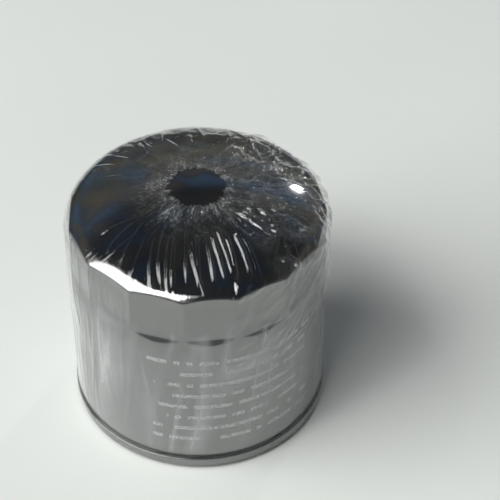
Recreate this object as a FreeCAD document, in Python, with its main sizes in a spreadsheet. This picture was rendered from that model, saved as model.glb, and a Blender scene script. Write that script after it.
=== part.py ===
"""Spin-on engine oil filter, 15 wrench flats, standing on its gasket with the dome up.

Millimetres, +Z up. The origin is the centre of the gasket's lower face, which is the face that
seals on the engine. The can is closed by a threaded base plate and a thin lid, seamed together.
Inside, a spring under the dome holds the filter element on the base plate; the element carries
the bypass valve, and a rubber flap valve covers the inlet holes. A clear film is shrunk over all.
"""

import FreeCAD, Part
import math
import os

import Sketcher
from FreeCAD import Vector

FIRST_LETTER, SECOND_LETTER = "A", "B"
SHEET = "dims"

# Every driving dimension, in millimetres unless it is a count.
DIMENSIONS = {
    # can
    "wall_radius": 37.7,
    "wall_gauge": 0.5,
    "dome_height": 79.0,
    "crown_radius": 84.0,
    "shoulder_radius": 10.0,
    "shoulder_centre": 30.27,
    "flat_apothem": 36.87,
    "flat_count": 15,
    "flat_bottom": 53.0,
    "flat_runout": 2.6,
    "neck_radius": 36.9,
    "neck_top": 5.2,
    "neck_run": 0.8,
    "foot_bottom": 1.28,
    "hook_radius": 37.75,
    "hook_top": 3.6,
    # lid, seam and gasket
    "lid_gauge": 0.4,
    "lid_bend": 0.15,
    "lid_bore": 26.5,
    "lid_clearance": 0.06,
    "lid_land": 2.5,
    "groove_inner": 31.0,
    "groove_top": 5.1,
    "seam_radius": 38.3,
    "seam_bottom": 0.82,
    "seam_top": 4.1,
    "compound_inner": 36.94,
    "compound_outer": 37.2,
    "compound_bottom": 1.8,
    "compound_top": 3.4,
    "gasket_inner": 31.2,
    "gasket_outer": 35.7,
    "gasket_height": 4.65,
    "gasket_chamfer": 0.35,
    # base plate
    "plate_gauge": 3.0,
    "plate_bottom": 2.95,
    "plate_step": 2.2,
    "plate_step_radius": 30.4,
    "plate_radius": 36.1,
    "hub_radius": 12.1,
    "hub_top": 14.0,
    "thread_bore": 9.19,
    "thread_lead_in": 0.9,
    "inlet_count": 8,
    "inlet_radius": 3.0,
    "inlet_circle": 21.0,
    # flap valve
    "collar_inner": 12.3,
    "collar_outer": 14.2,
    "collar_bottom": 10.0,
    "collar_top": 14.4,
    "skirt_root": 11.3,
    "lip_bottom": 6.0,
    "lip_inner": 24.6,
    "lip_outer": 26.4,
    "lip_top": 6.9,
    # element
    "cap_gauge": 0.35,
    "cap_bend": 0.3,
    "cap_radius": 33.4,
    "cap_lip": 3.4,
    "element_bottom": 14.45,
    "element_height": 47.9,
    "lower_cap_bore": 12.6,
    "upper_cap_bore": 8.2,
    "glue_depth": 1.2,
    "glue_inner": 13.9,
    "glue_outer": 32.7,
    "tube_radius": 13.6,
    "tube_gauge": 0.5,
    "tube_hole_radius": 1.9,
    "tube_hole_columns": 8,
    "tube_hole_rows": 6,
    "tube_hole_pitch": 7.2,
    "tube_first_hole": 20.4,
    "pleat_count": 48,
    "pleat_outer": 31.5,
    "pleat_inner": 14.1,
    "paper_gauge": 0.5,
    "pleat_tip_half": 0.9,
    "pleat_root_half": 0.2,
    "clip_inner_half": 0.98,
    "clip_gauge": 0.3,
    "clip_leg": 3.6,
    # bypass valve
    "seat_inner": 6.6,
    "seat_outer": 10.1,
    "seat_gauge": 1.1,
    "disc_radius": 8.6,
    "disc_gauge": 0.6,
    "seal_inner": 6.0,
    "seal_gauge": 0.4,
    "stem_radius": 1.25,
    "stem_head": 2.4,
    "stem_head_gauge": 0.7,
    "stem_bottom": 47.6,
    "clip_radius": 3.0,
    "clip_top": 49.2,
    "cage_radius": 10.6,
    "cage_flange": 12.7,
    "cage_gauge": 0.35,
    "cage_floor": 49.6,
    "cage_bore": 1.6,
    "window_count": 4,
    "window_width": 7.0,
    "window_height": 6.0,
    "window_bottom": 51.6,
    "bypass_wire": 0.5,
    "bypass_coil": 5.6,
    "bypass_turns": 5,
    # element spring and its cup
    "cup_inner": 10.4,
    "cup_outer": 15.6,
    "cup_gauge": 0.5,
    "cup_rim": 2.6,
    "spring_wire": 1.0,
    "spring_coil": 13.0,
    "spring_turns": 3.5,
    "spring_top": 76.2,
    # film
    "film_gauge": 0.15,
    "film_gap": 0.15,
    "film_opening": 8.5,
    "film_bulge": 1.2,
    "film_bulge_top": 64.0,
    "film_bulge_bottom": 42.0,
    "film_tight": 24.0,
    "film_hem_inner": 36.15,
    "film_hem_bottom": 0.3,
}


class Size:
    """A dimension as a number now, and as the expression that keeps it bound to the sheet."""

    def __init__(self, number, text):
        self.number = float(number)
        self.text = text

    @staticmethod
    def of(value):
        return value if isinstance(value, Size) else Size(value, repr(float(value)))

    def join(self, other, sign, number):
        return Size(number, f"({self.text} {sign} {Size.of(other).text})")

    def __add__(self, other):
        return self.join(other, "+", self.number + Size.of(other).number)

    def __sub__(self, other):
        return self.join(other, "-", self.number - Size.of(other).number)

    def __mul__(self, other):
        return self.join(other, "*", self.number * Size.of(other).number)

    def __truediv__(self, other):
        return self.join(other, "/", self.number / Size.of(other).number)

    def __rmul__(self, other):
        return Size.of(other) * self


def root(size):
    return Size(math.sqrt(size.number), f"sqrt({size.text})")


doc = FreeCAD.newDocument("oil_filter")


def make_sheet():
    """Writes the dimensions to the sheet and returns them as sizes, by name."""
    sheet = doc.addObject("Spreadsheet::Sheet", SHEET)
    sizes = {}
    for row, (name, value) in enumerate(DIMENSIONS.items(), start=1):
        sheet.set(f"{FIRST_LETTER}{row}", name)
        sheet.set(f"{SECOND_LETTER}{row}", str(value))
        sheet.setAlias(f"{SECOND_LETTER}{row}", name)
        sizes[name] = Size(value, f"{SHEET}.{name}")
    doc.recompute()
    return sizes


dims = make_sheet()
sub_parts = []


def sub_part(feature, label):
    """Names a finished sub-part, which is then written to its own file."""
    feature.Label = label
    sub_parts.append(feature)
    return feature


def plane(body, role):
    return next(item for item in body.Origin.OriginFeatures if item.Role == role)


def new_body(name):
    return doc.addObject("PartDesign::Body", name)


def new_sketch(body, name, role):
    sketch = body.newObject("Sketcher::SketchObject", name)
    sketch.AttachmentSupport = [(plane(body, role), "")]
    sketch.MapMode = "FlatFace"
    return sketch


def pin_point(sketch, geometry, end, point):
    """Holds one end of a line or arc at a place that follows the sheet."""
    for kind, size in (("DistanceX", point[0]), ("DistanceY", point[1])):
        index = sketch.addConstraint(Sketcher.Constraint(kind, -1, 1, geometry, end, size.number))
        sketch.setExpression(f"Constraints[{index}]", size.text)


def arc_between(start, end, radius, bulge_left):
    """An arc from start to end whose middle lies to the left or right of the way from one to the other."""
    first, last = (Vector(p[0].number, p[1].number, 0) for p in (start, end))
    chord = last - first
    side = Vector(-chord.y, chord.x, 0).normalize() * (1 if bulge_left else -1)
    rise = radius.number - math.sqrt(max(radius.number**2 - (chord.Length / 2) ** 2, 0))
    return Part.Arc(first, (first + last) * 0.5 + side * rise, last)


def draw_outline(sketch, corners):
    """Draws a closed outline. Each corner is (x, y), or (x, y, radius, bulge_left) where an arc leads on."""
    corners = [tuple(Size.of(v) for v in c[:3]) + tuple(c[3:]) for c in corners]
    for index, corner in enumerate(corners):
        following = corners[(index + 1) % len(corners)]
        if len(corner) > 2:
            edge = arc_between(corner, following, corner[2], corner[3])
        else:
            edge = Part.LineSegment(
                Vector(corner[0].number, corner[1].number, 0),
                Vector(following[0].number, following[1].number, 0),
            )
        sketch.addGeometry(edge)
    for index, corner in enumerate(corners):
        start = start_end(sketch, index, corner)
        pin_point(sketch, index, start, corner)
        pin_point(sketch, index, 3 - start, corners[(index + 1) % len(corners)])
        if len(corner) > 2:
            radius = sketch.addConstraint(Sketcher.Constraint("Radius", index, corner[2].number))
            sketch.setExpression(f"Constraints[{radius}]", corner[2].text)


def start_end(sketch, index, corner):
    """1 if the drawn edge starts at this corner, or 2 if the sketcher turned it round, as it does an arc."""
    first = sketch.getPoint(index, 1)
    near = abs(first.x - corner[0].number) + abs(first.y - corner[1].number) < 1e-6
    return 1 if near else 2


def revolve(name, corners):
    """A body turned about Z from an outline of (radius, height) corners."""
    body = new_body(name)
    sketch = new_sketch(body, f"{name}_outline", "XZ_Plane")
    draw_outline(sketch, corners)
    turned = body.newObject("PartDesign::Revolution", f"{name}_turned")
    turned.Profile = sketch
    turned.ReferenceAxis = (sketch, ["V_Axis"])
    turned.Angle = 360
    doc.recompute()
    return body


def ring(name, inner, outer, bottom, top):
    """A plain turned ring, or a disc where inner is 0."""
    corners = [(inner, bottom), (outer, bottom), (outer, top), (inner, top)]
    return revolve(name, corners)


def strip(path, gauge, bend):
    """The outline of bent sheet along a centreline whose runs are all level or upright."""
    numbers = [(x.number, y.number) for x, y in path]
    ways = []
    for (x0, y0), (x1, y1) in zip(numbers, numbers[1:]):
        length = math.hypot(x1 - x0, y1 - y0)
        ways.append((round((x1 - x0) / length), round((y1 - y0) / length)))
    half = gauge / 2
    sides = []
    for side in (1, -1):
        corners = []
        normals = [(-side * wy, side * wx) for wx, wy in ways]
        first, last = normals[0], normals[-1]
        corners.append((path[0][0] + half * first[0], path[0][1] + half * first[1]))
        for index in range(1, len(path) - 1):
            before, after = ways[index - 1], ways[index]
            turn_left = before[0] * after[1] - before[1] * after[0] > 0
            inside = turn_left == (side == 1)
            radius = bend if inside else bend + gauge
            sum_x = normals[index - 1][0] + normals[index][0]
            sum_y = normals[index - 1][1] + normals[index][1]
            corner = (path[index][0] + half * sum_x, path[index][1] + half * sum_y)
            start = (corner[0] - radius * before[0], corner[1] - radius * before[1])
            end = (corner[0] + radius * after[0], corner[1] + radius * after[1])
            # The arc bulges away from its centre, to the right of a left turn.
            corners.append((start[0], start[1], radius, not turn_left))
            corners.append(end)
        corners.append((path[-1][0] + half * last[0], path[-1][1] + half * last[1]))
        sides.append(corners)
    return sides[0] + reversed_side(sides[1])


def reversed_side(corners):
    """The same corners run the other way, with each arc's marks moved to its new first corner."""
    turned = []
    for index in range(len(corners) - 1, -1, -1):
        x, y = corners[index][:2]
        before = corners[index - 1] if index else ()
        if len(before) > 2:
            turned.append((x, y, before[2], not before[3]))
        else:
            turned.append((x, y))
    return turned


def cut_through(body, name, role, draw, occurrences=1, angle=360.0, midplane=False, reverse=False):
    """Cuts what draw() sketches on an origin plane right through the body, and repeats it about Z."""
    before = body.Shape.Volume
    sketch = new_sketch(body, f"{name}_outline", role)
    draw(sketch)
    pocket = body.newObject("PartDesign::Pocket", name)
    pocket.Profile = sketch
    pocket.Type = 1
    pocket.Midplane = midplane
    pocket.Reversed = reverse
    doc.recompute()
    if not body.Shape.Volume < before:
        raise RuntimeError(f"{name} cuts nothing")
    if occurrences > 1:
        pattern = body.newObject("PartDesign::PolarPattern", f"{name}_pattern")
        pattern.Originals = [pocket]
        pattern.Axis = (plane(body, "Z_Axis"), [""])
        pattern.Angle = angle
        pattern.Occurrences = occurrences
        body.Tip = pattern
        doc.recompute()
    return pocket


def draw_circle(sketch, x, y, radius):
    index = sketch.addGeometry(Part.Circle(Vector(x.number, y.number, 0), Vector(0, 0, 1), radius.number))
    pin_point(sketch, index, 3, (x, y))
    constraint = sketch.addConstraint(Sketcher.Constraint("Radius", index, radius.number))
    sketch.setExpression(f"Constraints[{constraint}]", radius.text)


ZERO = Size(0, "0")


# ---------------------------------------------------------------- can


def dome_points(inset):
    """Where the crown arc meets the shoulder arc and the shoulder meets the wall, inset from the outside."""
    d = dims
    crown_centre = d["dome_height"] - d["crown_radius"]
    apart = d["crown_radius"] - d["shoulder_radius"]
    shoulder_height = crown_centre + root(apart * apart - d["shoulder_centre"] * d["shoulder_centre"])
    crown, shoulder = d["crown_radius"] - inset, d["shoulder_radius"] - inset
    share = crown / apart
    tangent = (d["shoulder_centre"] * share, crown_centre + (shoulder_height - crown_centre) * share)
    wall = d["wall_radius"] - inset
    across = wall - d["shoulder_centre"]
    rim = (wall, shoulder_height + root(shoulder * shoulder - across * across))
    return {
        "apex": (ZERO, d["dome_height"] - inset),
        "crown": crown,
        "tangent": tangent,
        "shoulder": shoulder,
        "rim": rim,
    }


def drawn_cup(name, inset):
    """The can as a solid block down to the neck, inset from the outside, with its wrench flats."""
    d = dims
    dome = dome_points(inset)
    wall = d["wall_radius"] - inset
    neck = d["neck_radius"] - inset
    corners = [
        (ZERO, d["foot_bottom"]),
        (neck, d["foot_bottom"]),
        (neck, d["neck_top"] - d["neck_run"]),
        (wall, d["neck_top"]),
        (dome["rim"][0], dome["rim"][1], dome["shoulder"], False),
        (dome["tangent"][0], dome["tangent"][1], dome["crown"], False),
        dome["apex"],
    ]
    body = revolve(name, corners)
    apothem = d["flat_apothem"] - inset
    clear = d["wall_radius"] * 1.3
    low = d["flat_bottom"] - d["flat_runout"]

    def flat(sketch):
        outline = [
            (apothem, d["flat_bottom"]),
            (apothem, d["dome_height"] * 1.1),
            (clear, d["dome_height"] * 1.1),
            (clear, low),
            (wall, low),
        ]
        draw_outline(sketch, outline)

    cut_through(body, f"{name}_flats", "XZ_Plane", flat, DIMENSIONS["flat_count"], midplane=True)
    return body


def make_can():
    """Drawn steel can: the outer block less the same block one gauge smaller, with its hook for the seam."""
    d = dims
    outside = drawn_cup("can_outside", ZERO)
    inside = drawn_cup("can_inside", d["wall_gauge"])
    shell = doc.addObject("Part::Cut", "can_shell")
    shell.Base, shell.Tool = outside, inside
    gauge = d["wall_gauge"]
    inner = d["neck_radius"] - gauge
    hook = revolve(
        "can_hook",
        [
            (inner, d["foot_bottom"]),
            (d["hook_radius"], d["foot_bottom"]),
            (d["hook_radius"], d["hook_top"]),
            (d["hook_radius"] - gauge, d["hook_top"]),
            (d["hook_radius"] - gauge, d["foot_bottom"] + gauge),
            (inner, d["foot_bottom"] + gauge),
        ],
    )
    can = doc.addObject("Part::Fuse", "can")
    can.Base, can.Tool = shell, hook
    can.Refine = True
    doc.recompute()
    sub_part(can, "housing_can")


# ---------------------------------------------------------------- closure


def make_lid():
    """Thin lid: a land under the base plate, the gasket's groove, and the outer half of the seam."""
    d = dims
    half = d["lid_gauge"] / 2
    land = d["lid_land"] + half
    groove = d["groove_top"] - half
    panel = d["seam_bottom"] + half
    chuck = d["neck_radius"] - d["wall_gauge"] - half - d["lid_clearance"]
    path = [
        (d["lid_bore"], land),
        (d["groove_inner"] - half, land),
        (d["groove_inner"] - half, groove),
        (chuck, groove),
        (chuck, panel),
        (d["seam_radius"] - half, panel),
        (d["seam_radius"] - half, d["seam_top"]),
    ]
    sub_part(revolve("lid", strip(path, d["lid_gauge"], d["lid_bend"])), "seam_lid")


def make_seam_compound():
    d = dims
    compound = ring(
        "compound", d["compound_inner"], d["compound_outer"], d["compound_bottom"], d["compound_top"]
    )
    sub_part(compound, "seam_compound")


def make_gasket():
    """Square-cut rubber ring with its lower edges broken."""
    d = dims
    low, cut = ZERO, d["gasket_chamfer"]
    corners = [
        (d["gasket_inner"] + cut, low),
        (d["gasket_outer"] - cut, low),
        (d["gasket_outer"], cut),
        (d["gasket_outer"], d["gasket_height"]),
        (d["gasket_inner"], d["gasket_height"]),
        (d["gasket_inner"], cut),
    ]
    sub_part(revolve("gasket", corners), "sealing_gasket")


def make_base_plate():
    """Dished steel plate with the threaded hub drawn inwards and a ring of inlet holes."""
    d = dims
    low = d["plate_bottom"]
    raised = low + d["plate_step"]
    gauge = d["plate_gauge"]
    inner_step = d["plate_step_radius"] - 1.5
    lead = d["thread_lead_in"]
    corners = [
        (d["thread_bore"] + lead, low),
        (d["plate_step_radius"], low),
        (d["plate_step_radius"], raised),
        (d["plate_radius"], raised),
        (d["plate_radius"], raised + gauge),
        (inner_step, raised + gauge),
        (inner_step - d["plate_step"], low + gauge),
        (d["hub_radius"], low + gauge),
        (d["hub_radius"], d["hub_top"]),
        (d["thread_bore"] + lead, d["hub_top"]),
        (d["thread_bore"], d["hub_top"] - lead),
        (d["thread_bore"], low + lead),
    ]
    body = revolve("plate", corners)

    def inlet(sketch):
        draw_circle(sketch, d["inlet_circle"], ZERO, d["inlet_radius"])

    cut_through(body, "plate_inlets", "XY_Plane", inlet, DIMENSIONS["inlet_count"], midplane=True)
    sub_part(body, "base_plate")


def make_flap_valve():
    """Rubber anti-drain valve: a collar round the hub and a cone whose lip rests past the inlet holes."""
    d = dims
    corners = [
        (d["collar_inner"], d["collar_bottom"]),
        (d["lip_inner"], d["lip_bottom"]),
        (d["lip_outer"], d["lip_bottom"]),
        (d["lip_outer"], d["lip_top"]),
        (d["collar_outer"], d["skirt_root"]),
        (d["collar_outer"], d["collar_top"]),
        (d["collar_inner"], d["collar_top"]),
    ]
    sub_part(revolve("flap_valve", corners), "anti_drain_valve")


# ---------------------------------------------------------------- element


def element_top():
    return dims["element_bottom"] + dims["element_height"]


def make_end_caps():
    """Pressed end caps, each with a lip over the ends of the pleats."""
    d = dims
    half = d["cap_gauge"] / 2
    lip = d["cap_radius"] - half
    low, high = d["element_bottom"] + half, element_top() - half
    lower = [(d["lower_cap_bore"], low), (lip, low), (lip, low + d["cap_lip"])]
    upper = [(d["upper_cap_bore"], high), (lip, high), (lip, high - d["cap_lip"])]
    for path, label in ((lower, "lower_end_cap"), (upper, "upper_end_cap")):
        sub_part(revolve(f"{label}_body", strip(path, d["cap_gauge"], d["cap_bend"])), label)


def make_adhesive():
    """Glue that beds the pleats in each end cap."""
    d = dims
    low, high = d["element_bottom"] + d["cap_gauge"], element_top() - d["cap_gauge"]
    for label, bottom, top in (
        ("lower_adhesive", low, low + d["glue_depth"]),
        ("upper_adhesive", high - d["glue_depth"], high),
    ):
        sub_part(ring(f"{label}_ring", d["glue_inner"], d["glue_outer"], bottom, top), label)


def make_centre_tube():
    """Steel tube that keeps the pleats from collapsing, with rows of round holes."""
    d = dims
    low, high = d["element_bottom"] + d["cap_gauge"], element_top() - d["cap_gauge"]
    body = ring("tube", d["tube_radius"] - d["tube_gauge"], d["tube_radius"], low, high)
    columns, rows = DIMENSIONS["tube_hole_columns"], DIMENSIONS["tube_hole_rows"]

    def column(sketch):
        for row in range(rows):
            draw_circle(sketch, ZERO, d["tube_first_hole"] + row * d["tube_hole_pitch"], d["tube_hole_radius"])

    # Each cut runs through both walls, so the pattern covers half a turn.
    turn = 180.0 * (columns / 2 - 1) / (columns / 2)
    cut_through(body, "tube_holes", "XZ_Plane", column, columns // 2, turn, midplane=True)
    sub_part(body, "center_tube")


def star(radius_tip, half_tip, radius_root, half_root):
    """A closed star wire with a short level end at each tip and each root."""
    count = DIMENSIONS["pleat_count"]
    pitch = 2 * math.pi / count
    points = []
    for index in range(count):
        middle = index * pitch
        for radius, angle in (
            (radius_tip, middle - half_tip / radius_tip),
            (radius_tip, middle + half_tip / radius_tip),
            (radius_root, middle + pitch / 2 - half_root / radius_root),
            (radius_root, middle + pitch / 2 + half_root / radius_root),
        ):
            points.append(Vector(radius * math.cos(angle), radius * math.sin(angle), 0))
    return Part.Wire(Part.makePolygon(points + points[:1]))


def make_pleats():
    """One sheet of filter paper folded into pleats, standing between the two beds of glue."""
    n = DIMENSIONS
    paper = n["paper_gauge"]
    outer = star(n["pleat_outer"], n["pleat_tip_half"], n["pleat_inner"] + paper, n["pleat_root_half"])
    inner = star(
        n["pleat_outer"] - paper,
        n["pleat_tip_half"] - paper,
        n["pleat_inner"],
        n["pleat_root_half"] + paper,
    )
    bed = n["cap_gauge"] + n["glue_depth"]
    height = n["element_height"] - 2 * bed
    block, hollow = (Part.Face(wire).extrude(Vector(0, 0, height)) for wire in (outer, inner))
    feature = doc.addObject("Part::Feature", "pleats")
    feature.Shape = block.cut(hollow)
    feature.Placement = FreeCAD.Placement(Vector(0, 0, n["element_bottom"] + bed), FreeCAD.Rotation())
    sub_part(feature, "pleated_media")


def make_media_clip():
    """Steel strip folded over the pleat that joins the two ends of the paper."""
    d = dims
    body = new_body("media_clip")
    sketch = new_sketch(body, "media_clip_outline", "XY_Plane")
    inner, gauge = d["clip_inner_half"], d["clip_gauge"]
    outer = inner + gauge
    back = d["pleat_outer"] + 0.05
    tip = back - d["clip_leg"]
    corners = [
        (tip, outer * -1),
        (back + gauge, outer * -1),
        (back + gauge, outer),
        (tip, outer),
        (tip, inner),
        (back, inner),
        (back, inner * -1),
        (tip, inner * -1),
    ]
    draw_outline(sketch, corners)
    pad = body.newObject("PartDesign::Pad", "media_clip_pad")
    pad.Profile = sketch
    bed = d["cap_gauge"] + d["glue_depth"]
    pad.setExpression("Length", (d["element_height"] - 2 * bed).text)
    body.setExpression("Placement.Base.z", (d["element_bottom"] + bed).text)
    doc.recompute()
    sub_part(body, "media_seam_clip")


# ---------------------------------------------------------------- bypass valve


def coil(name, radius, wire, bottom, top, turns):
    """A coil spring of round wire between two heights, measured at the wire's middle."""
    helix = doc.addObject("Part::Helix", f"{name}_helix")
    helix.setExpression("Radius", radius.text)
    helix.setExpression("Height", (top - bottom).text)
    helix.setExpression("Pitch", ((top - bottom) / turns).text)
    helix.setExpression("Placement.Base.z", bottom.text)
    section = doc.addObject("Part::Circle", f"{name}_section")
    section.setExpression("Radius", wire.text)
    section.Placement = FreeCAD.Placement(Vector(), FreeCAD.Rotation(Vector(1, 0, 0), 90))
    section.setExpression("Placement.Base.x", radius.text)
    section.setExpression("Placement.Base.z", bottom.text)
    sweep = doc.addObject("Part::Sweep", name)
    sweep.Sections = [section]
    sweep.Spine = (helix, ["Edge1"])
    sweep.Solid = True
    sweep.Frenet = True
    doc.recompute()
    return sweep


def make_bypass_valve():
    """Seat, sealed disc on a stem, spring and cage, all hanging in the top of the centre tube."""
    d = dims
    under_cap = element_top() - d["cap_gauge"]
    seat_bottom = under_cap - d["seat_gauge"]
    seat = ring("seat", d["seat_inner"], d["seat_outer"], seat_bottom, under_cap)
    sub_part(seat, "bypass_seat")
    disc_top = seat_bottom - d["seal_gauge"]
    disc_bottom = disc_top - d["disc_gauge"]
    sub_part(ring("disc", d["stem_radius"], d["disc_radius"], disc_bottom, disc_top), "bypass_disc")
    sub_part(ring("seal", d["seal_inner"], d["disc_radius"], disc_top, seat_bottom), "bypass_disc_seal")
    head_top = disc_top + d["stem_head_gauge"]
    stem = [
        (ZERO, d["stem_bottom"]),
        (d["stem_radius"], d["stem_bottom"]),
        (d["stem_radius"], disc_top),
        (d["stem_head"], disc_top),
        (d["stem_head"] * 0.75, head_top),
        (ZERO, head_top),
    ]
    sub_part(revolve("stem", stem), "bypass_stem")
    stem_clip = ring("stem_clip", d["stem_radius"], d["clip_radius"], d["clip_top"] - 0.5, d["clip_top"])
    sub_part(stem_clip, "bypass_stem_clip")
    low = d["cage_floor"] + d["cage_gauge"] + d["bypass_wire"] + 0.02
    high = disc_bottom - d["bypass_wire"] - 0.02
    spring = coil("bypass_coil_spring", d["bypass_coil"], d["bypass_wire"], low, high, d["bypass_turns"])
    sub_part(spring, "bypass_spring")


def make_bypass_cage():
    d = dims
    half = d["cage_gauge"] / 2
    under_cap = element_top() - d["cap_gauge"] - half
    wall = d["cage_radius"] - half
    path = [
        (d["cage_flange"], under_cap),
        (wall, under_cap),
        (wall, d["cage_floor"] + half),
        (d["cage_bore"], d["cage_floor"] + half),
    ]
    body = revolve("cage", strip(path, d["cage_gauge"], d["cap_bend"]))

    def window(sketch):
        right, low = d["window_width"] / 2, d["window_bottom"]
        high = low + d["window_height"]
        draw_outline(sketch, [(right * -1, low), (right, low), (right, high), (right * -1, high)])

    pairs = DIMENSIONS["window_count"] // 2
    cut_through(body, "cage_windows", "XZ_Plane", window, pairs, 90.0, midplane=True)
    sub_part(body, "bypass_cage")


# ---------------------------------------------------------------- element spring


def make_element_spring():
    """Coil spring between the dome and a flanged cup on the upper end cap."""
    d = dims
    half = d["cup_gauge"] / 2
    seat = element_top() + half
    rim = d["cup_outer"] - half
    path = [(d["cup_inner"], seat), (rim, seat), (rim, seat + d["cup_rim"])]
    sub_part(revolve("spring_cup_body", strip(path, d["cup_gauge"], d["cap_bend"])), "spring_cup")
    low = element_top() + d["cup_gauge"] + d["spring_wire"] + 0.02
    spring = coil(
        "element_coil_spring", d["spring_coil"], d["spring_wire"], low, d["spring_top"], d["spring_turns"]
    )
    sub_part(spring, "element_spring")


# ---------------------------------------------------------------- film


def film_side(inset):
    """One face of the film, from the opening in the dome to the hem under the seam."""
    d = dims
    dome = dome_points(inset)
    crown_centre = d["dome_height"] - d["crown_radius"]
    opening = d["film_opening"]
    crown = dome["crown"]
    tight = d["wall_radius"] - inset
    seam = d["seam_radius"] - inset
    # inset is negative here, so these heights lie one gap, or one gap and gauge, outside the steel.
    above_seam = d["seam_top"] + 1.2
    return [
        (opening, crown_centre + root(crown * crown - opening * opening), crown, True),
        (dome["tangent"][0], dome["tangent"][1], dome["shoulder"], True),
        dome["rim"],
        (tight + d["film_bulge"], d["film_bulge_top"]),
        (tight + d["film_bulge"], d["film_bulge_bottom"]),
        (tight, d["film_tight"]),
        (tight, above_seam),
        (seam, d["seam_top"]),
        (seam, d["seam_bottom"]),
    ]


def make_film():
    """Clear film shrunk on: open over the crown, slack below the flats, turned in under the seam."""
    d = dims
    inner = film_side(d["film_gap"] * -1)
    outer = film_side((d["film_gap"] + d["film_gauge"]) * -1)
    hem = d["film_hem_bottom"]
    inner[-1] = (inner[-1][0], hem + d["film_gauge"])
    outer[-1] = (outer[-1][0], hem)
    edge = d["film_hem_inner"]
    corners = inner + [(edge, hem + d["film_gauge"]), (edge, hem)] + reversed_side(outer)
    sub_part(revolve("film", corners), "shrink_film")


# ---------------------------------------------------------------- checks and files


def check_document():
    """Stops if any object failed, or any sub-part isn't whole closed solids."""
    doc.recompute()
    failed = [item.Name for item in doc.Objects if {"Invalid", "Error"} & set(item.State)]
    if failed:
        raise RuntimeError(f"failed objects: {failed}")
    for feature in sub_parts:
        shape = feature.Shape
        if shape.isNull() or not shape.isValid() or not shape.Solids or shape.Volume <= 0:
            raise RuntimeError(f"{feature.Label} is not a valid solid")


def write_parts():
    os.makedirs("parts", exist_ok=True)
    for feature in sub_parts:
        feature.Shape.exportStep(f"parts/{feature.Label}.step")
        print(feature.Label, "solids", len(feature.Shape.Solids), "volume", round(feature.Shape.Volume, 1))


make_can()
make_lid()
make_seam_compound()
make_gasket()
make_base_plate()
make_flap_valve()
make_end_caps()
make_adhesive()
make_centre_tube()
make_pleats()
make_media_clip()
make_bypass_valve()
make_bypass_cage()
make_element_spring()
make_film()
check_document()
write_parts()
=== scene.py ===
"""Looks for the spin-on oil filter: a gloss black can in wrinkled clear film, on a pale table.

Metres, in the CAD frame: +Z up, the origin at the centre of the gasket's lower face.
"""

import math

import bmesh
import bpy
import numpy as np
from mathutils import Matrix, Vector


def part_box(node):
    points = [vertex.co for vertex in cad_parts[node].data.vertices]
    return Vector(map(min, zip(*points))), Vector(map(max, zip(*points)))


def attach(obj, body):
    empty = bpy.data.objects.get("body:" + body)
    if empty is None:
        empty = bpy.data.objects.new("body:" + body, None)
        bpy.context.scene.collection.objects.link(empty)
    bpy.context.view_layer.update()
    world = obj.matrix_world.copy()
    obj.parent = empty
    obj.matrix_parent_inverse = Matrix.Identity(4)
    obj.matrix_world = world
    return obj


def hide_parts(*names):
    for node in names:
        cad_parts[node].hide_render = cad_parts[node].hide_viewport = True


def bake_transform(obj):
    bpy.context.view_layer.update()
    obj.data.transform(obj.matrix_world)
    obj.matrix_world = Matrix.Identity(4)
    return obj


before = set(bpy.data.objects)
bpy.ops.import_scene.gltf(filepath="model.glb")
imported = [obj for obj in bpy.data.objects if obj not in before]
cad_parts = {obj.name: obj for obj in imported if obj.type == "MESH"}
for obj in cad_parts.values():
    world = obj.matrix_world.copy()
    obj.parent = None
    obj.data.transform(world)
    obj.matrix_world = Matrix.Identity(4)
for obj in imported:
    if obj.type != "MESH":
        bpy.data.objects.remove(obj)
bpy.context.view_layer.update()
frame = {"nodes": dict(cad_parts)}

MM = 0.001
nodes = frame["nodes"]

# Sizes that the film and the print follow, in millimetres, as in the CAD model.
CROWN_RADIUS, CROWN_CENTRE = 84.0, -5.0
SHOULDER_RADIUS, SHOULDER_CENTRE = 10.0, 30.27
WALL_RADIUS, SEAM_RADIUS = 37.7, 38.3
SEAM_TOP, HEM_RADIUS, HEM_HEIGHT = 4.1, 36.15, 0.38
OPENING_RADIUS = 8.1
OUTER_LIMIT, TOP_LIMIT = 39.15, 78.97
FLAT_COUNT, FLAT_APOTHEM = 15, 36.87
BORE_RADIUS, THREAD_PITCH, THREAD_DEPTH = 9.19, 1.5, 0.81

# The photograph's view: the camera's place, where it looks, and its lens.
VIEW_AZIMUTH = -10.9
VIEW_ELEVATION = 47.33
VIEW_DISTANCE = 0.6354
AIM_RIGHT, AIM_DOWN, ROLL = 2.04, 43.83, 0.32
LENS = 145.7

# The printed side: where its middle faces, its rows, and the cells that its words are made of.
PRINT_AZIMUTH = math.radians(VIEW_AZIMUTH + 17)
PRINT_BOTTOM = 10.5 * MM
PRINT_PITCH = 4.6 * MM
PRINT_ROWS = 8
PRINT_CELL = 1.9 * MM
PRINT_HALF_WIDTH = 30.0 * MM
INK_SHARE_OF_ROW = 0.32

# Both are set for brightness, and aren't real values: paint's index is near 1.5, and
# one clear sheet's shine would be 1.0.
PAINT_IOR = 2.7
FILM_SHINE_ON_DOME, FILM_SHINE_ON_WALL = 2.2, 1.3

# Azimuth from the camera's side towards its right, and elevation, in degrees; distance, width
# and height in metres; watts; colour.
LIGHTS = (
    ("window", -74, 40, 2.4, 1.9, 2.1, 64, (0.98, 1.0, 0.97)),
    ("high_window", -38, 57, 2.4, 1.1, 0.7, 18, (0.98, 1.0, 0.97)),
    ("back_lamp", 150, 26, 1.6, 0.06, 0.06, 2.4, (0.98, 0.99, 1.0)),
)


# ---------------------------------------------------------------- camera, light and floor


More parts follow.
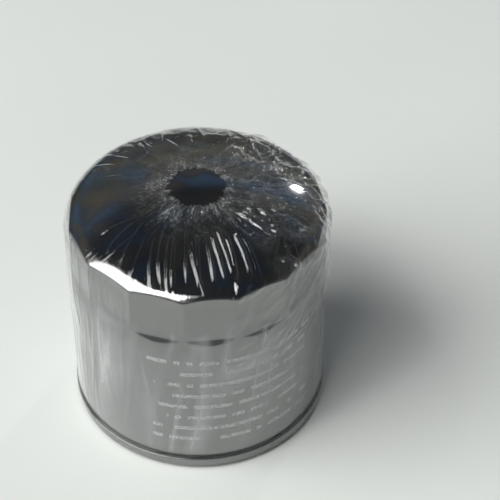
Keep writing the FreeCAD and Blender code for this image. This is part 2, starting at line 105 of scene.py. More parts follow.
def add_camera():
    azimuth, elevation = math.radians(VIEW_AZIMUTH), math.radians(VIEW_ELEVATION)
    place = VIEW_DISTANCE * Vector((0, -math.cos(elevation), math.sin(elevation)))
    aim, down, roll = (math.radians(a) for a in (AIM_RIGHT, AIM_DOWN, ROLL))
    forward = Vector((math.sin(aim) * math.cos(down), math.cos(aim) * math.cos(down), -math.sin(down)))
    right = forward.cross(Vector((0, 0, 1))).normalized()
    up = right.cross(forward)
    rolled_right = right * math.cos(roll) + up * math.sin(roll)
    rolled_up = up * math.cos(roll) - right * math.sin(roll)
    turn = Matrix((rolled_right, rolled_up, -forward)).transposed().to_4x4()
    data = bpy.data.cameras.new("photo_view")
    data.lens = LENS
    data.sensor_width = 36
    data.clip_start = 0.01
    camera = bpy.data.objects.new("photo_view", data)
    bpy.context.collection.objects.link(camera)
    camera.matrix_world = Matrix.Rotation(azimuth, 4, "Z") @ Matrix.Translation(place) @ turn
    bpy.context.scene.camera = camera


def around(azimuth, elevation, distance):
    """A place seen from the object, with azimuth counted from the camera's side towards its right."""
    azimuth = math.radians(azimuth + VIEW_AZIMUTH)
    elevation = math.radians(elevation)
    flat = distance * math.cos(elevation)
    return Vector((flat * math.sin(azimuth), -flat * math.cos(azimuth), distance * math.sin(elevation)))


def add_area_light(name, azimuth, elevation, distance, width, height, watts, colour):
    data = bpy.data.lights.new(name, "AREA")
    data.shape = "RECTANGLE"
    data.size, data.size_y = width, height
    data.energy = watts
    data.color = colour
    light = bpy.data.objects.new(name, data)
    bpy.context.collection.objects.link(light)
    light.location = around(azimuth, elevation, distance)
    light.rotation_euler = (Vector((0, 0, 0.04)) - light.location).to_track_quat("-Z", "Y").to_euler()


def add_world():
    """A dim room: darkest at the table's level, with dull blue and brown patches above."""
    world = bpy.data.worlds.new("dim_room")
    bpy.context.scene.world = world
    world.use_nodes = True
    nodes, links = world.node_tree.nodes, world.node_tree.links
    nodes.clear()
    place = nodes.new("ShaderNodeTexCoord").outputs["Generated"]
    split = nodes.new("ShaderNodeSeparateXYZ")
    links.new(place, split.inputs[0])
    level = nodes.new("ShaderNodeValToRGB")
    stops = level.color_ramp.elements
    stops[0].position, stops[0].color = 0.0, (0.06, 0.06, 0.055, 1)
    stops[1].position, stops[1].color = 0.3, (0.18, 0.18, 0.155, 1)
    stops.new(0.6).color = (0.17, 0.17, 0.16, 1)
    stops.new(0.7).color = (0.04, 0.043, 0.042, 1)
    links.new(split.outputs["Z"], level.inputs[0])
    patches = nodes.new("ShaderNodeTexNoise")
    patches.inputs["Scale"].default_value = 4.5
    patches.inputs["Detail"].default_value = 3.0
    links.new(place, patches.inputs["Vector"])
    hue = nodes.new("ShaderNodeValToRGB")
    stops = hue.color_ramp.elements
    stops[0].position, stops[0].color = 0.38, (0.55, 0.95, 1.7, 1)
    stops[1].position, stops[1].color = 0.64, (1.15, 1.0, 0.85, 1)
    for position, colour in ((0.46, (0.5, 0.62, 0.8, 1)), (0.52, (0.8, 0.8, 0.75, 1))):
        stops.new(position).color = colour
    links.new(patches.outputs["Fac"], hue.inputs[0])
    tint = nodes.new("ShaderNodeMix")
    tint.data_type, tint.blend_type = "RGBA", "MULTIPLY"
    tint.inputs[0].default_value = 1.0
    links.new(level.outputs[0], tint.inputs[6])
    links.new(hue.outputs[0], tint.inputs[7])
    background = nodes.new("ShaderNodeBackground")
    links.new(tint.outputs[2], background.inputs["Color"])
    output = nodes.new("ShaderNodeOutputWorld")
    links.new(background.outputs[0], output.inputs[0])


def add_studio():
    add_world()
    for light in LIGHTS:
        add_area_light(*light)
    # The filter stands near the table's front edge, so its low slopes mirror the dim room.
    edge, size = 0.18, 1.6
    bpy.ops.mesh.primitive_plane_add(size=size, location=around(180, 0, size / 2 - edge))
    floor = bpy.context.object
    floor.rotation_euler.z = math.radians(VIEW_AZIMUTH)
    floor.name = "table"
    floor.data.materials.append(table_material())
    bpy.context.scene.view_settings.view_transform = "Standard"


# ---------------------------------------------------------------- material helpers


class Shader:
    """A material's node tree, with short ways to add what this scene's materials use."""

    def __init__(self, name):
        self.material = bpy.data.materials.new(name)
        self.material.use_nodes = True
        self.tree = self.material.node_tree
        self.principled = self.tree.nodes["Principled BSDF"]
        self.output = self.tree.nodes["Material Output"]

    def node(self, kind, inputs=(), **settings):
        made = self.tree.nodes.new(f"ShaderNode{kind}")
        for key, value in settings.items():
            setattr(made, key, value)
        for key, value in dict(inputs).items():
            self.set(made.inputs[key], value)
        return made

    def set(self, socket, value):
        if isinstance(value, bpy.types.NodeSocket):
            self.tree.links.new(value, socket)
        else:
            socket.default_value = value

    def place(self, scale=(1, 1, 1), source="Object"):
        """Coordinates in the row frame in metres, or the UV map's, scaled."""
        coordinates = self.node("TexCoord")
        mapping = self.node("Mapping", {"Vector": coordinates.outputs[source], "Scale": scale})
        return mapping.outputs[0]

    def noise(self, vector, scale, detail=3.0, roughness=0.5):
        made = self.node(
            "TexNoise", {"Vector": vector, "Scale": scale, "Detail": detail, "Roughness": roughness}
        )
        return made.outputs["Fac"]

    def ramp(self, factor, *stops):
        made = self.node("ValToRGB", {"Fac": factor})
        elements = made.color_ramp.elements
        while len(elements) < len(stops):
            elements.new(0.5)
        for element, (position, value) in zip(elements, stops):
            element.position = position
            element.color = value if hasattr(value, "__len__") else (value, value, value, 1)
        return made.outputs["Color"]

    def math(self, operation, first, second=0.0, clamp=False):
        made = self.node("Math", operation=operation, use_clamp=clamp)
        self.set(made.inputs[0], first)
        self.set(made.inputs[1], second)
        return made.outputs[0]

    def mix_colour(self, factor, first, second):
        made = self.node("Mix", data_type="RGBA")
        self.set(made.inputs[0], factor)
        self.set(made.inputs[6], first)
        self.set(made.inputs[7], second)
        return made.outputs[2]

    def bump(self, height, distance, strength=1.0, normal=None):
        inputs = {"Height": height, "Distance": distance, "Strength": strength}
        if normal is not None:
            inputs["Normal"] = normal
        return self.node("Bump", inputs).outputs[0]

    def finish(self, **inputs):
        for key, value in inputs.items():
            self.set(self.principled.inputs[key.replace("_", " ")], value)
        return self.material


def paint(obj, material):
    """Gives every material slot of obj this material."""
    obj.data.materials.clear()
    obj.data.materials.append(material)


# ---------------------------------------------------------------- materials


def table_material():
    """Matt white laminate with the faintest mottling."""
    s = Shader("white_laminate")
    speckle = s.noise(s.place(), 9.0, 4.0)
    colour = s.ramp(speckle, (0.3, (0.77, 0.78, 0.765, 1)), (0.7, (0.80, 0.81, 0.795, 1)))
    grain = s.noise(s.place(), 900.0, 2.0)
    return s.finish(Base_Color=colour, Roughness=0.55, Normal=s.bump(grain, 0.00005, 0.3))


def can_material():
    """Gloss black paint with orange peel and dust, and rows of plain pale bars in place of print."""
    s = Shader("gloss_black_paint")
    coordinates = s.place()
    split = s.node("SeparateXYZ", {"Vector": coordinates})
    x, y, z = split.outputs
    # Distance along the wall, in metres, from the middle of the printed side.
    angle = s.math("ARCTAN2", x, s.math("MULTIPLY", y, -1.0))
    along = s.math("MULTIPLY", s.math("SUBTRACT", angle, PRINT_AZIMUTH), WALL_RADIUS * MM)
    row = s.math("DIVIDE", s.math("SUBTRACT", z, PRINT_BOTTOM), PRINT_PITCH)
    row_number = s.math("FLOOR", row)
    in_row = s.math("SUBTRACT", row, row_number)
    ink = s.math("LESS_THAN", s.math("ABSOLUTE", s.math("SUBTRACT", in_row, 0.5)), INK_SHARE_OF_ROW / 2)
    # Words are runs of cells whose lengths differ from row to row.
    cell = s.math("FLOOR", s.math("DIVIDE", along, PRINT_CELL))
    seed = s.node("CombineXYZ", {"X": cell, "Y": row_number})
    random_cell = s.node("TexWhiteNoise", {"Vector": seed.outputs[0]}, noise_dimensions="3D").outputs[0]
    ink = s.math("MULTIPLY", ink, s.math("GREATER_THAN", random_cell, 0.22))
    rows = s.math("MULTIPLY", s.math("GREATER_THAN", row, 0.0), s.math("LESS_THAN", row, PRINT_ROWS))
    seed = s.node("CombineXYZ", {"X": row_number})
    row_random = s.node("TexWhiteNoise", {"Vector": seed.outputs[0]}, noise_dimensions="3D").outputs[0]
    half = s.math("MULTIPLY", s.math("ADD", s.math("MULTIPLY", row_random, 0.35), 0.65), PRINT_HALF_WIDTH)
    inside = s.math("LESS_THAN", s.math("ABSOLUTE", along), half)
    ink = s.math("MULTIPLY", s.math("MULTIPLY", ink, rows), inside)
    worn = s.noise(coordinates, 1500.0, 4.0)
    ink = s.math("MULTIPLY", ink, s.ramp(worn, (0.32, 0.1), (0.55, 0.5)))
    cloud = s.noise(coordinates, 60.0, 4.0)
    black = s.ramp(cloud, (0.35, (0.006, 0.006, 0.007, 1)), (0.7, (0.012, 0.012, 0.014, 1)))
    colour = s.mix_colour(ink, black, (0.62, 0.63, 0.64, 1))
    dust = s.noise(coordinates, 1800.0, 2.0)
    colour = s.mix_colour(s.ramp(dust, (0.74, 0.0), (0.8, 0.3)), colour, (0.6, 0.6, 0.58, 1))
    peel = s.noise(coordinates, 420.0, 2.0)
    roughness = s.ramp(cloud, (0.3, 0.05), (0.7, 0.10))
    rounded = s.node("Bevel", {"Radius": 0.001}, samples=6).outputs[0]
    normal = s.bump(peel, 0.00003, 0.2, rounded)
    return s.finish(Base_Color=colour, Roughness=roughness, Normal=normal, IOR=PAINT_IOR)


def film_material():
    """Clear shrink film: it mirrors at its folds, is milky where it gathered, and is clear elsewhere; on
    the wall its milky white also holds painted light.
    """
    s = Shader("clear_shrink_film")
    # The UV map runs round the can in u and down the film in v, both in centimetres.
    streaks = s.noise(s.place((7.0, 0.8, 1), "UV"), 1.0, 5.0, 0.6)
    fine = s.noise(s.place((30.0, 7.0, 1), "UV"), 1.0, 4.0, 0.6)
    crinkle = s.noise(s.place((5.0, 5.0, 1), "UV"), 1.0, 5.0, 0.65)
    crumpled = s.node("Attribute", attribute_name="crumple").outputs["Fac"]
    height = s.math("ADD", s.math("MULTIPLY", crinkle, crumpled), s.math("MULTIPLY", streaks, 0.25))
    height = s.math("ADD", height, s.math("MULTIPLY", s.math("MULTIPLY", fine, crumpled), 0.2))
    normal = s.bump(height, 0.0006, 0.6)
    # The haze attribute is the film's milkiness plus painted light on the wall: a painted reflection of
    # the table low down, and a painted lit left side.
    gathered = s.node("Attribute", attribute_name="haze_and_painted_light").outputs["Fac"]
    down = s.node("SeparateXYZ", {"Vector": s.place(source="UV")}).outputs["Y"]
    on_wall = s.node("MapRange", {"Value": down, "From Min": 2.8, "From Max": 3.6}).outputs[0]
    grains = s.mix_colour(on_wall, s.ramp(fine, (0.45, 0.1), (0.68, 1.0)), (0.45, 0.45, 0.45, 1))
    milky_and_painted_light = s.math("MULTIPLY", gathered, grains, clamp=True)
    # Schlick's formula, alike from both sides: a film this thin never mirrors everything inside.
    facing = s.node("LayerWeight", {"Blend": 0.5, "Normal": normal}).outputs["Facing"]
    fresnel = s.math("ADD", s.math("MULTIPLY", s.math("POWER", facing, 5.0), 0.96), 0.04)
    drop = s.math("MULTIPLY", on_wall, FILM_SHINE_ON_DOME - FILM_SHINE_ON_WALL)
    shine = s.math("MULTIPLY", fresnel, s.math("SUBTRACT", FILM_SHINE_ON_DOME, drop), clamp=True)
    clear = s.node("BsdfTransparent")
    mirror = s.node("BsdfAnisotropic", {"Roughness": 0.05, "Normal": normal, "Color": (1, 1, 1, 1)})
    sheet = s.node("MixShader", {0: shine})
    s.tree.links.new(clear.outputs[0], sheet.inputs[1])
    s.tree.links.new(mirror.outputs[0], sheet.inputs[2])
    s.finish(Base_Color=(0.86, 0.87, 0.88, 1), Roughness=0.3, Normal=normal)
    whole = s.node("MixShader", {0: milky_and_painted_light})
    s.tree.links.new(sheet.outputs[0], whole.inputs[1])
    s.tree.links.new(s.principled.outputs[0], whole.inputs[2])
    s.tree.links.new(whole.outputs[0], s.output.inputs[0])
    return s.material


def metal_material(name, colour, roughness, grain=900.0):
    """Plated or bright sheet metal with rolling marks, small scratches and a patchy polish."""
    s = Shader(name)
    place = s.place()
    patches = s.noise(place, 120.0, 4.0)
    marks = s.noise(s.place((1, 1, 12)), grain, 3.0)
    dark = tuple(0.72 * c for c in colour)
    tone = s.ramp(patches, (0.3, (*dark, 1)), (0.7, (*colour, 1)))
    gloss = s.ramp(marks, (0.3, roughness * 0.75), (0.7, min(1, roughness * 1.3)))
    return s.finish(Base_Color=tone, Metallic=1.0, Roughness=gloss, Normal=s.bump(marks, 0.00002, 0.3))


def rubber_material(name, colour):
    """Moulded nitrile rubber: fine mould texture, a slight bloom and an oily sheen."""
    s = Shader(name)
    place = s.place()
    bloom = s.noise(place, 180.0, 5.0)
    light = tuple(2.4 * c for c in colour)
    tone = s.ramp(bloom, (0.45, (*colour, 1)), (0.8, (*light, 1)))
    grain = s.noise(place, 4000.0, 2.0)
    gloss = s.ramp(bloom, (0.3, 0.42), (0.7, 0.6))
    return s.finish(Base_Color=tone, Roughness=gloss, Normal=s.bump(grain, 0.00002, 0.5))


def paper_material():
    """Resin-cured filter paper with paler fibres and blotches of darker and lighter tone."""
    s = Shader("filter_paper")
    place = s.place()
    fibres = s.noise(s.place((1, 1, 0.3)), 2200.0, 4.0, 0.7)
    blotches = s.noise(place, 150.0, 3.0)
    pale = s.ramp(blotches, (0.3, (0.66, 0.47, 0.24, 1)), (0.7, (0.80, 0.63, 0.37, 1)))
    tone = s.mix_colour(s.ramp(fibres, (0.4, 0.0), (0.7, 0.35)), pale, (0.90, 0.80, 0.60, 1))
    return s.finish(Base_Color=tone, Roughness=0.85, Normal=s.bump(fibres, 0.00008, 0.6))


def adhesive_material():
    """Cured bedding compound with small bubbles."""
    s = Shader("cured_adhesive")
    place = s.place()
    bubbles = s.node("TexVoronoi", {"Vector": place, "Scale": 1400.0}).outputs["Distance"]
    tone = s.ramp(s.noise(place, 200.0), (0.3, (0.42, 0.36, 0.26, 1)), (0.7, (0.56, 0.50, 0.38, 1)))
    return s.finish(Base_Color=tone, Roughness=0.5, Normal=s.bump(bubbles, 0.0001, 0.4))


# ---------------------------------------------------------------- film


def smoothstep(low, high, value):
    share = np.clip((value - low) / (high - low), 0, 1)
    return share * share * (3 - 2 * share)


def ring_noise(turn, down, cells_round, cell_length, seed):
    """Smooth noise from -1 to 1 that closes on itself round the can."""
    random = np.random.default_rng(seed)
    v = down / cell_length
    rows = int(v.max()) + 3
    grid = random.uniform(-1, 1, (rows, cells_round))
    u = (turn * cells_round) % cells_round
    u0, v0 = np.floor(u).astype(int), np.floor(v).astype(int)
    fu, fv = u - u0, v - v0
    fu, fv = fu * fu * (3 - 2 * fu), fv * fv * (3 - 2 * fv)
    u0, u1 = u0 % cells_round, (u0 + 1) % cells_round
    top = grid[v0, u0] * (1 - fu) + grid[v0, u1] * fu
    low = grid[v0 + 1, u0] * (1 - fu) + grid[v0 + 1, u1] * fu
    return top * (1 - fv) + low * fv


def film_profile(rows):
    """Radius and height of the film's mean surface, evenly spaced from the opening to the hem."""
    gap = 0.22
    crown, shoulder = CROWN_RADIUS + gap, SHOULDER_RADIUS + gap
    apart = CROWN_RADIUS - SHOULDER_RADIUS
    shoulder_height = CROWN_CENTRE + math.sqrt(apart**2 - SHOULDER_CENTRE**2)
    tangent = math.asin(SHOULDER_CENTRE / apart)
    points = []
    for lean in np.linspace(math.asin(OPENING_RADIUS / crown), tangent, 120):
        points.append((crown * math.sin(lean), CROWN_CENTRE + crown * math.cos(lean)))
    rim = math.asin((WALL_RADIUS + gap - SHOULDER_CENTRE) / shoulder)
    for lean in np.linspace(tangent, rim, 40)[1:]:
        out, up = shoulder * math.sin(lean), shoulder * math.cos(lean)
        points.append((SHOULDER_CENTRE + out, shoulder_height + up))
    wall = WALL_RADIUS + gap
    points += [
        (wall + 0.85, 66.5),
        (wall + 1.0, 62.0),
        (wall + 0.95, 55.0),
        (wall + 0.6, 46.0),
        (wall + 0.25, 34.0),
        (wall + 0.05, 20.0),
        (wall, SEAM_TOP + 1.6),
        (SEAM_RADIUS + gap, SEAM_TOP - 0.2),
        (SEAM_RADIUS + gap, 0.9),
        (SEAM_RADIUS + gap - 0.4, HEM_HEIGHT),
        (HEM_RADIUS, HEM_HEIGHT),
    ]
    points = np.array(points)
    lengths = np.concatenate([[0], np.cumsum(np.hypot(*np.diff(points, axis=0).T))])
    dense = np.linspace(0, lengths[-1], 4000)
    radius = np.interp(dense, lengths, points[:, 0])
    height = np.interp(dense, lengths, points[:, 1])
    ease = np.hanning(61)
    ease /= ease.sum()
    padded = [np.pad(values, 30, "edge") for values in (radius, height)]
    radius, height = (np.convolve(values, ease, "valid") for values in padded)
    # Rows are closer together round the seam and the hem, where the film bends most.
    closeness = 1 + 1.6 * (height < 6) + 0.8 * (radius < 14)
    share = np.concatenate([[0], np.cumsum(closeness[1:])])
    wanted = np.linspace(0, share[-1], rows)
    return tuple(np.interp(wanted, share, values) for values in (radius, height, dense))


def ridged(noise):
    """Turns smooth noise into sharp crests from 0 to 1."""
    return np.clip(1 - 2.2 * np.abs(noise), 0, 1)


def between(value, low, high, ease):
    """1 between low and high, easing to 0 outside."""
    return smoothstep(low - ease, low, value) * smoothstep(high + ease, high, value)


def creases(film, count, seed, azimuths, start, length, width, height, lean, twist=0.0, closing=0.0):
    """Narrow ridges that run down the film, each with its own start, length, lean and height.

    Azimuths count from the camera's side towards its right, in degrees. Twist leans all the
    ridges to the right, and closing leans them towards azimuth 0, in proportion to their own.
    """
    random = np.random.default_rng(seed)
    total = np.zeros_like(film.turn)
    low, high = azimuths
    for index in range(count):
        azimuth = low + (high - low) * (index + random.uniform(0.25, 0.75)) / count
        middle = (azimuth + VIEW_AZIMUTH) / 360
        share = (film.down - random.uniform(*start)) / random.uniform(*length)
        wide, tall = random.uniform(*width), random.uniform(*height)
        slope, bend = random.normal(0, lean, 2)
        slope += twist - closing * azimuth
        centre = middle + (slope * share + bend * share * share) / (2 * math.pi)
        across = ((film.turn - centre + 0.5) % 1 - 0.5) * 2 * math.pi * film.radius
        window = smoothstep(0, 0.2, share) * smoothstep(1, 0.65, share)
        total = np.maximum(total, tall * np.exp(-((across / wide) ** 2)) * window)
    return total


class Film:
    """The film as a grid: rows from the opening in the dome to the hem, columns round the can."""

    def __init__(self, columns, rows):
        self.columns, self.rows = columns, rows
        radius, height, down = film_profile(rows)
        slope = np.stack([np.gradient(radius), np.gradient(height)])
        slope /= np.hypot(*slope)
        self.out_r, self.out_z = (values[:, None] for values in (-slope[1], slope[0]))
        self.turn, self.down = np.meshgrid(np.arange(columns) / columns, down)
        self.radius = np.repeat(radius[:, None], columns, 1)
        self.height = np.repeat(height[:, None], columns, 1)
        self.azimuth = (self.turn * 360 - VIEW_AZIMUTH + 180) % 360 - 180

    def noise(self, cells_round, cell_length, seed, skew=0.0):
        turn = (self.turn + skew * self.down / (2 * math.pi * WALL_RADIUS)) % 1
        return ring_noise(turn, self.down, cells_round, cell_length, seed)

    def shape(self):
        """Sets how far the film stands off its mean surface, in mm, how crumpled and milky it is, and
        where painted light whitens it.
        """
        down, azimuth, height = self.down, self.azimuth, self.height
        on_wall = smoothstep(69, 64, height) * smoothstep(4, 9, height)
        at_opening = np.exp(-((down / 7.0) ** 2))
        right = between(azimuth, 50, 140, 20) * between(down, 10, 34, 5)
        back = between(np.abs(azimuth), 120, 180, 20) * between(down, 10, 30, 5)
        pleated = between(azimuth, 22, 95, 15) * between(height, 44, 70, 6)

        gathers = ridged(self.noise(60, 3.4, 3)) + 0.6 * ridged(self.noise(150, 1.4, 4))
        lift = 0.10 * at_opening * gathers
        lift += creases(
            self, count=13, seed=5, azimuths=(-40, 40), start=(6, 11),
            length=(19, 23), width=(0.5, 0.7), height=(0.35, 0.55), lean=0.03, twist=0.08, closing=0.006,
        )
        lift += creases(
            self, count=6, seed=23, azimuths=(-62, -34), start=(9, 14),
            length=(12, 18), width=(0.4, 0.6), height=(0.15, 0.3), lean=0.08,
        )
        lift += creases(
            self, count=15, seed=6, azimuths=(120, 250), start=(10, 19),
            length=(9, 13), width=(0.35, 0.6), height=(0.12, 0.28), lean=0.08,
        )
        lift += creases(
            self, count=18, seed=14, azimuths=(48, 128), start=(8, 16),
            length=(12, 18), width=(0.4, 0.9), height=(0.3, 0.7), lean=0.5,
        )
        lift += creases(
            self, count=60, seed=7, azimuths=(0, 360), start=(27, 33),
            length=(5, 12), width=(0.3, 0.7), height=(0.04, 0.2), lean=0.06,
        )
        lift += on_wall * creases(
            self, count=40, seed=8, azimuths=(0, 360), start=(30, 60),
            length=(25, 60), width=(0.7, 1.6), height=(0.05, 0.2), lean=0.08,
        )
        lift += on_wall * creases(
            self, count=14, seed=15, azimuths=(-105, -20), start=(30, 50),
            length=(30, 60), width=(0.5, 1.0), height=(0.1, 0.3), lean=0.06,
        )
        crumple = ridged(self.noise(34, 6.0, 9)) + 0.4 * ridged(self.noise(70, 3.0, 10))
        lift += 0.75 * right * crumple + 0.15 * back * crumple
        diagonal = ridged(self.noise(52, 6.0, 11, 0.9)) * 0.6 + ridged(self.noise(90, 3.0, 12, 0.8)) * 0.2
        lift += pleated * diagonal
        slack = 0.35 * self.noise(18, 16.0, 13) + 0.12 * self.noise(50, 9.0, 16)
        waves = 0.16 * self.noise(44, 18.0, 22) * between(height, 32, 52, 7)
        lift += on_wall * (slack + waves) * smoothstep(6, 40, height)
        self.lift = np.maximum(lift, -0.12)

        self.crumple = np.clip(0.03 + 0.6 * at_opening + 0.3 * right + 0.1 * back + 0.25 * pleated, 0, 1)
        specks = smoothstep(0.1, 0.7, self.noise(300, 0.7, 17))
        smears = smoothstep(-0.3, 0.6, self.noise(40, 5.0, 21))
        milk = 0.08 + 0.25 * gathers + 0.6 * specks
        haze_and_painted_light = np.exp(-((down / 7.5) ** 2)) * milk * (0.35 + 0.65 * smears)
        haze_and_painted_light += 0.10 * right * crumple + 0.06 * back * crumple
        haze_and_painted_light += 0.9 * between(azimuth, 75, 130, 15) * between(down, 18, 32, 3) * smears * specks
        gathered = smoothstep(-0.8, 0.2, self.noise(16, 30.0, 25))
        strands = ridged(self.noise(44, 40.0, 24, 0.15)) * gathered * between(height, 8, 54, 4)
        # On the wall: faint milkiness and milky strands; below 45 to 51 mm it is whiter, a painted
        # reflection of the table.
        haze_and_painted_light += on_wall * (0.03 + 0.10 * smoothstep(51, 45, height) + 0.55 * strands)
        haze_and_painted_light += 0.10 * on_wall * smoothstep(0.1, 0.4, lift)
        # Painted light: the wall is whitened on its left side, where the window falls.
        haze_and_painted_light += 0.10 * on_wall * between(azimuth, -110, -50, 20)
        self.haze_and_painted_light = np.clip(haze_and_painted_light, 0, 1)

    def vertices(self):
        """The grid's points in metres, with a ragged opening and a gathered hem."""
        level = np.zeros_like(self.down)
        ragged = 0.5 * ring_noise(self.turn, level, 50, 1.0, 18)
        ragged = ragged + 0.6 * ring_noise(self.turn, level, 170, 1.0, 19)
        inward = ragged * np.exp(-self.down / 1.2)
        hem = 0.35 * ring_noise(self.turn, level, 90, 1.0, 20) * smoothstep(1.0, 0.3, self.height)
        r = self.radius + self.out_r * self.lift + inward - hem * (self.radius < 37.5)
        z = self.height + self.out_z * self.lift - 0.1 * inward
        angle = self.turn * 2 * math.pi
        # In front the film is stretched over the wrench flats; at the sides and back it stands off.
        tight = smoothstep(85, 40, np.abs(self.azimuth))
        wall = WALL_RADIUS + 0.2 + 0.6 * self.lift
        r = np.where(r > wall, r + (wall - r) * 0.7 * tight * between(self.height, 12, 66, 8), r)
        flat = 2 * math.pi / FLAT_COUNT
        from_middle = (angle - math.pi / 2 + flat / 2) % flat - flat / 2
        polygon = (FLAT_APOTHEM + 0.15) / np.cos(from_middle) + 0.6 * self.lift
        over_flats = tight * smoothstep(50, 58, self.height)
        r = np.where(r > polygon, r + (polygon - r) * over_flats, r)
        r, z = np.minimum(r, OUTER_LIMIT), np.clip(z, 0.33, TOP_LIMIT)
        return np.stack([r * np.sin(angle), -r * np.cos(angle), z], -1).reshape(-1, 3) * MM

    def mesh(self):
        columns = self.columns
        column, row = np.meshgrid(np.arange(columns), np.arange(self.rows - 1))
        after = (column + 1) % columns
        corners = ((row, column), (row + 1, column), (row + 1, after), (row, after))
        faces = np.stack([r * columns + c for r, c in corners], -1).reshape(-1, 4)
        mesh = bpy.data.meshes.new("wrinkled_film")
        mesh.from_pydata(self.vertices().tolist(), [], faces.tolist())
        mesh.polygons.foreach_set("use_smooth", [True] * len(mesh.polygons))
        # Centimetres round the can and down the film; the last column closes at a whole turn.
        round_cm = 2 * math.pi * WALL_RADIUS / 10
        u = np.stack([column, column, column + 1, column + 1], -1) * round_cm / columns
        v = np.stack([self.down[r, c] for r, c in corners], -1) / 10
        mesh.uv_layers.new(name="around").data.foreach_set("uv", np.stack([u, v], -1).reshape(-1))
        for name, values in (("haze_and_painted_light", self.haze_and_painted_light), ("crumple", self.crumple)):
            mesh.attributes.new(name, "FLOAT", "POINT").data.foreach_set("value", values.reshape(-1))
        return mesh


def make_film():
    grid = Film(columns=840, rows=230)
    grid.shape()
    film = bpy.data.objects.new("wrinkled_film", grid.mesh())
    bpy.context.collection.objects.link(film)
    paint(film, film_material())
    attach(film, "case")
    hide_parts("shrink_film")


# ---------------------------------------------------------------- thread, springs and flap valve


def new_piece(name, vertices, faces):
    mesh = bpy.data.meshes.new(name)
    mesh.from_pydata(vertices, [], faces)
    mesh.polygons.foreach_set("use_smooth", [True] * len(mesh.polygons))
    piece = bpy.data.objects.new(name, mesh)
    bpy.context.collection.objects.link(piece)
    return piece


def copy_of(node, name):
    """A new piece with a CAD node's shape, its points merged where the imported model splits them."""
    shape = bmesh.new()
    shape.from_mesh(nodes[node].data)
    bmesh.ops.remove_doubles(shape, verts=shape.verts, dist=1e-6)
    mesh = bpy.data.meshes.new(name)
    shape.to_mesh(mesh)
    shape.free()
    piece = bpy.data.objects.new(name, mesh)
    bpy.context.collection.objects.link(piece)
    return piece


def smooth_curved_faces(piece, sharp_angle):
    """Smooth shading between sharp edges; level faces stay flat-shaded."""
    faces = piece.data.polygons
    faces.foreach_set("use_smooth", [abs(face.normal.z) < 0.9999 for face in faces])
    piece.data.set_sharp_from_angle(angle=math.radians(sharp_angle))


def thread_core(low, high):
    """A round bar that fills the bore, with the thread standing out of it as a right-hand helix."""
    columns, step = 96, THREAD_PITCH / 16
    rows = int((high - low) / step) + 1
    vertices, faces = [], []
    for row in range(rows):
        z = low + row * step
        for column in range(columns):
            phase = (z / THREAD_PITCH - column / columns) % 1
            off_centre = abs(phase - 0.5) * THREAD_PITCH
            depth = min(max((0.656 - off_centre) / 0.562, 0), 1) * THREAD_DEPTH
            r = BORE_RADIUS - 0.02 + depth
            angle = 2 * math.pi * column / columns
            vertices.append((r * math.cos(angle) * MM, r * math.sin(angle) * MM, z * MM))
    for row in range(rows - 1):
        for column in range(columns):
            after = (column + 1) % columns
            below, above = row * columns, (row + 1) * columns
            faces.append((below + column, below + after, above + after, above + column))
    faces.append(tuple(range(columns - 1, -1, -1)))
    faces.append(tuple(range((rows - 1) * columns, rows * columns)))
    return new_piece("thread_core", vertices, faces)


def make_threaded_plate():
    low, high = (corner.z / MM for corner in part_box("base_plate"))
    plate = copy_of("base_plate", "threaded_base_plate")
    core = thread_core(low - 1, high + 1)
    cut = plate.modifiers.new("thread", "BOOLEAN")
    cut.operation, cut.solver, cut.object = "DIFFERENCE", "EXACT", core
    bpy.context.view_layer.update()
    cut_mesh = bpy.data.meshes.new_from_object(plate.evaluated_get(bpy.context.evaluated_depsgraph_get()))
    plate.modifiers.clear()
    plate.data = cut_mesh
    bpy.data.objects.remove(core)
    smooth_curved_faces(plate, 30)
    paint(plate, ZINC)
    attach(plate, "case")
    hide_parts("base_plate")


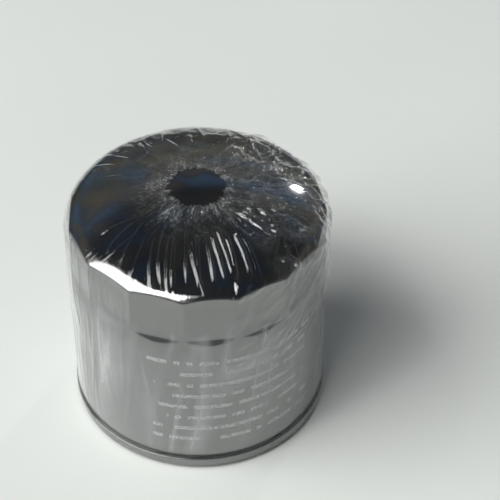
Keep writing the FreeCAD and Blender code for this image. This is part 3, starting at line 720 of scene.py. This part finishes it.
def make_coil(name, radius, wire, low, high, turns):
    """Round wire coiled between two heights, with its end turns closed."""
    steps, sides = int(turns * 48), 12
    vertices, faces = [], []
    for step in range(steps + 1):
        share = step / steps
        # The first and last turns lie almost flat; the rest climb evenly.
        flat = 0.9 / turns
        even = 0.92 * np.clip((share - flat) / (1 - 2 * flat), 0, 1)
        climb = smoothstep(0, 2 * flat, share) * 0.04 + even
        climb += smoothstep(1 - 2 * flat, 1, share) * 0.04
        z = low + (high - low) * float(climb)
        angle = 2 * math.pi * turns * share
        for side in range(sides):
            around_wire = 2 * math.pi * side / sides
            r = radius + wire * math.cos(around_wire)
            height = z + wire * math.sin(around_wire)
            vertices.append((r * math.cos(angle) * MM, r * math.sin(angle) * MM, height * MM))
    for step in range(steps):
        for side in range(sides):
            after = (side + 1) % sides
            first, second = step * sides, (step + 1) * sides
            faces.append((first + side, second + side, second + after, first + after))
    faces.append(tuple(range(sides)))
    faces.append(tuple(range(steps * sides + sides - 1, steps * sides - 1, -1)))
    return new_piece(name, vertices, faces)


def make_springs():
    for node, wire, turns, fixed, moving in (
        ("element_spring", 1.0, 4.5, "case", "element"),
        ("bypass_spring", 0.5, 6.5, "bypass_poppet", "element"),
    ):
        low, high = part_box(node)
        radius, bottom, top = high.x / MM - wire, low.z / MM + wire, high.z / MM - wire
        coil = make_coil(f"{node}_coil", radius, wire, bottom, top, turns)
        paint(coil, SPRING)
        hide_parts(node)
        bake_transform(coil)


def make_flap_valve():
    flap = copy_of("anti_drain_valve", "flap_valve")
    smooth_curved_faces(flap, 35)
    paint(flap, RUBBER)
    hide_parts("anti_drain_valve")
    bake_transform(flap)


add_camera()
add_studio()
BLACK = can_material()
TIN = metal_material("tin_plate", (0.62, 0.61, 0.59), 0.28)
ZINC = metal_material("zinc_plate", (0.58, 0.59, 0.58), 0.34)
SPRING = metal_material("spring_steel", (0.25, 0.25, 0.26), 0.35)
RUBBER = rubber_material("nitrile_rubber", (0.012, 0.012, 0.013))
PAPER = paper_material()
ADHESIVE = adhesive_material()
FINISHES = {
    "housing_can": BLACK,
    "seam_lid": BLACK,
    "sealing_gasket": RUBBER,
    "anti_drain_valve": RUBBER,
    "bypass_disc_seal": RUBBER,
    "seam_compound": RUBBER,
    "base_plate": ZINC,
    "pleated_media": PAPER,
    "lower_adhesive": ADHESIVE,
    "upper_adhesive": ADHESIVE,
    "element_spring": SPRING,
    "bypass_spring": SPRING,
}
for name, node in nodes.items():
    paint(node, FINISHES.get(name, TIN))
make_film()
make_threaded_plate()
make_springs()
make_flap_valve()
